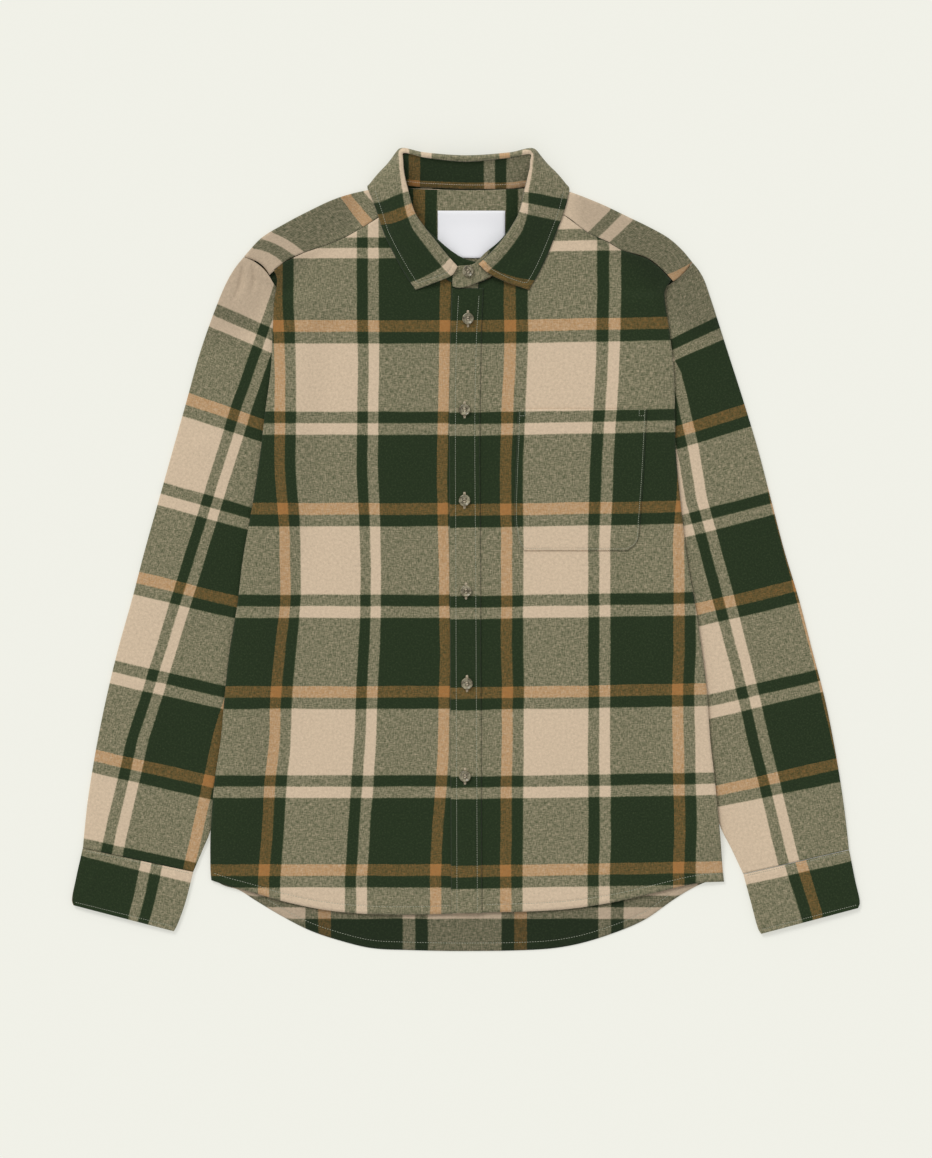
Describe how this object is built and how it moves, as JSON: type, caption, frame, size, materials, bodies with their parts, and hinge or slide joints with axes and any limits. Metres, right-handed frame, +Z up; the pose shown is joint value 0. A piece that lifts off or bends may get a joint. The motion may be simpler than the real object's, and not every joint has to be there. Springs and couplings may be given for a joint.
{
  "type": "flannel shirt",
  "caption": "Brushed-cotton plaid shirt laid flat and buttoned: pointed collar on a stand, yoke, chest pocket, front strip, long sleeves with cuffs and a curved hem",
  "frame": {"origin": "the middle of the shirt's box on the surface that it lies on", "axes": "+Z up from the surface, +Y towards the collar, +X to the wearer's left, the pocket's side, with the front facing up"},
  "size_m": [0.7886, 0.8013, 0.0196],
  "materials": {
    "flannel": "brushed cotton twill in a plaid of dark green, cream and golden brown, with a short nap",
    "label": "plain white woven tape, bare",
    "button": "grey-brown horn look with a satin polish"
  },
  "bodies": {
    "root": {"back": "flannel", "yoke": "flannel", "yoke_facing": "flannel", "front_right": "flannel", "front_left": "flannel", "placket": "flannel", "pocket": "flannel", "collar_stand": "flannel", "collar_leaf": "flannel", "sleeve_right": "flannel", "sleeve_left": "flannel", "cuff_right": "flannel", "cuff_left": "flannel", "label": "label", "button_collar": "button", "button_1": "button", "button_2": "button", "button_3": "button", "button_4": "button", "button_5": "button", "button_6": "button"}
  },
  "joints": []
}
